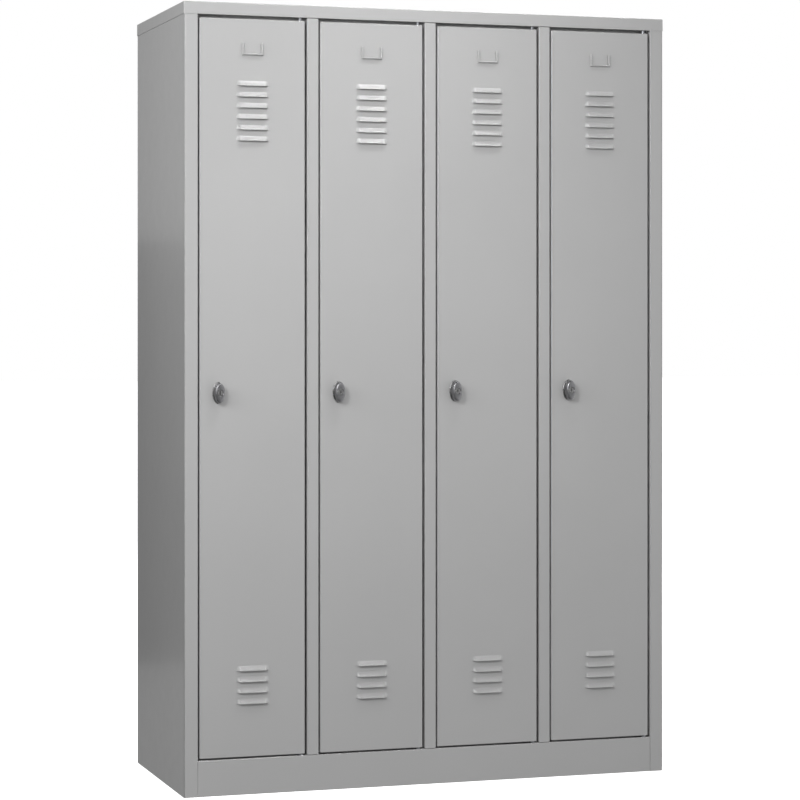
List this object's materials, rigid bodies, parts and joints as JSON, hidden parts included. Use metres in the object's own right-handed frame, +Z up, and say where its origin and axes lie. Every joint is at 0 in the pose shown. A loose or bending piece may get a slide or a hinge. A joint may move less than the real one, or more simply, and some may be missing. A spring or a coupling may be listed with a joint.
{
  "type": "locker cabinet",
  "caption": "Steel cloakroom locker with full-height louvred doors side by side, each closing a compartment with a hat shelf and coat rail, on a plinth.",
  "frame": {"origin": "bottom centre of the bounding box, on the floor; the box's depth runs from the turn handles' faces to the back of the top cover", "axes": "+Z up, the doors face -Y, +X to the right as seen from the front"},
  "size_m": [1.175, 0.52, 1.8],
  "materials": {
    "carcass_paint": "light grey satin powder coat",
    "door_paint": "light grey satin powder coat",
    "handle_nickel": "satin nickel plate",
    "lock_nickel": "bright nickel plate",
    "zinc_plate": "bright zinc plate"
  },
  "bodies": {
    "cabinet": {"top_cover": "carcass_paint", "side_panel_left": "carcass_paint", "side_panel_right": "carcass_paint", "front_post_left": "carcass_paint", "front_post_right": "carcass_paint", "back_panel": "carcass_paint", "floor_panel": "carcass_paint", "header_rail": "carcass_paint", "plinth_front": "carcass_paint", "mullion_1": "carcass_paint", "partition_1": "carcass_paint", "mullion_2": "carcass_paint", "partition_2": "carcass_paint", "mullion_3": "carcass_paint", "partition_3": "carcass_paint", "hat_shelf_1": "carcass_paint", "coat_rail_1": "zinc_plate", "pivot_pin_top_1": "zinc_plate", "pivot_pin_bottom_1": "zinc_plate", "hat_shelf_2": "carcass_paint", "coat_rail_2": "zinc_plate", "pivot_pin_top_2": "zinc_plate", "pivot_pin_bottom_2": "zinc_plate", "hat_shelf_3": "carcass_paint", "coat_rail_3": "zinc_plate", "pivot_pin_top_3": "zinc_plate", "pivot_pin_bottom_3": "zinc_plate", "hat_shelf_4": "carcass_paint", "coat_rail_4": "zinc_plate", "pivot_pin_top_4": "zinc_plate", "pivot_pin_bottom_4": "zinc_plate"},
    "door_1": {"door_panel_1": "door_paint", "door_stiffener_1": "carcass_paint", "escutcheon_1": "lock_nickel"},
    "latch_1": {"turn_handle_1": "handle_nickel", "latch_cam_1": "zinc_plate", "cam_screw_1": "zinc_plate"},
    "plug_1": {"key_plug_1": "lock_nickel"},
    "door_2": {"door_panel_2": "door_paint", "door_stiffener_2": "carcass_paint", "escutcheon_2": "lock_nickel"},
    "latch_2": {"turn_handle_2": "handle_nickel", "latch_cam_2": "zinc_plate", "cam_screw_2": "zinc_plate"},
    "plug_2": {"key_plug_2": "lock_nickel"},
    "door_3": {"door_panel_3": "door_paint", "door_stiffener_3": "carcass_paint", "escutcheon_3": "lock_nickel"},
    "latch_3": {"turn_handle_3": "handle_nickel", "latch_cam_3": "zinc_plate", "cam_screw_3": "zinc_plate"},
    "plug_3": {"key_plug_3": "lock_nickel"},
    "door_4": {"door_panel_4": "door_paint", "door_stiffener_4": "carcass_paint", "escutcheon_4": "lock_nickel"},
    "latch_4": {"turn_handle_4": "handle_nickel", "latch_cam_4": "zinc_plate", "cam_screw_4": "zinc_plate"},
    "plug_4": {"key_plug_4": "lock_nickel"}
  },
  "joints": [
    {"name": "door_1_hinge", "type": "hinge", "parent": "cabinet", "child": "door_1", "pos_m": [-0.3125, -0.2309, 0.925], "axis": [0, 0, 1], "range_deg": [0, 110]},
    {"name": "latch_1_turn", "type": "hinge", "parent": "door_1", "child": "latch_1", "pos_m": [-0.5075, -0.2389, 0.914], "axis": [0, 1, 0], "range_deg": [0, 90]},
    {"name": "key_plug_1_turn", "type": "hinge", "parent": "latch_1", "child": "plug_1", "pos_m": [-0.5075, -0.2539, 0.914], "axis": [0, 1, 0], "range_deg": [0, 90]},
    {"name": "door_2_hinge", "type": "hinge", "parent": "cabinet", "child": "door_2", "pos_m": [-0.0285, -0.2309, 0.925], "axis": [0, 0, 1], "range_deg": [0, 110]},
    {"name": "latch_2_turn", "type": "hinge", "parent": "door_2", "child": "latch_2", "pos_m": [-0.2235, -0.2389, 0.914], "axis": [0, 1, 0], "range_deg": [0, 90]},
    {"name": "key_plug_2_turn", "type": "hinge", "parent": "latch_2", "child": "plug_2", "pos_m": [-0.2235, -0.2539, 0.914], "axis": [0, 1, 0], "range_deg": [0, 90]},
    {"name": "door_3_hinge", "type": "hinge", "parent": "cabinet", "child": "door_3", "pos_m": [0.2555, -0.2309, 0.925], "axis": [0, 0, 1], "range_deg": [0, 110]},
    {"name": "latch_3_turn", "type": "hinge", "parent": "door_3", "child": "latch_3", "pos_m": [0.0605, -0.2389, 0.914], "axis": [0, 1, 0], "range_deg": [0, 90]},
    {"name": "key_plug_3_turn", "type": "hinge", "parent": "latch_3", "child": "plug_3", "pos_m": [0.0605, -0.2539, 0.914], "axis": [0, 1, 0], "range_deg": [0, 90]},
    {"name": "door_4_hinge", "type": "hinge", "parent": "cabinet", "child": "door_4", "pos_m": [0.5395, -0.2309, 0.925], "axis": [0, 0, 1], "range_deg": [0, 110]},
    {"name": "latch_4_turn", "type": "hinge", "parent": "door_4", "child": "latch_4", "pos_m": [0.3445, -0.2389, 0.914], "axis": [0, 1, 0], "range_deg": [0, 90]},
    {"name": "key_plug_4_turn", "type": "hinge", "parent": "latch_4", "child": "plug_4", "pos_m": [0.3445, -0.2539, 0.914], "axis": [0, 1, 0], "range_deg": [0, 90]}
  ]
}
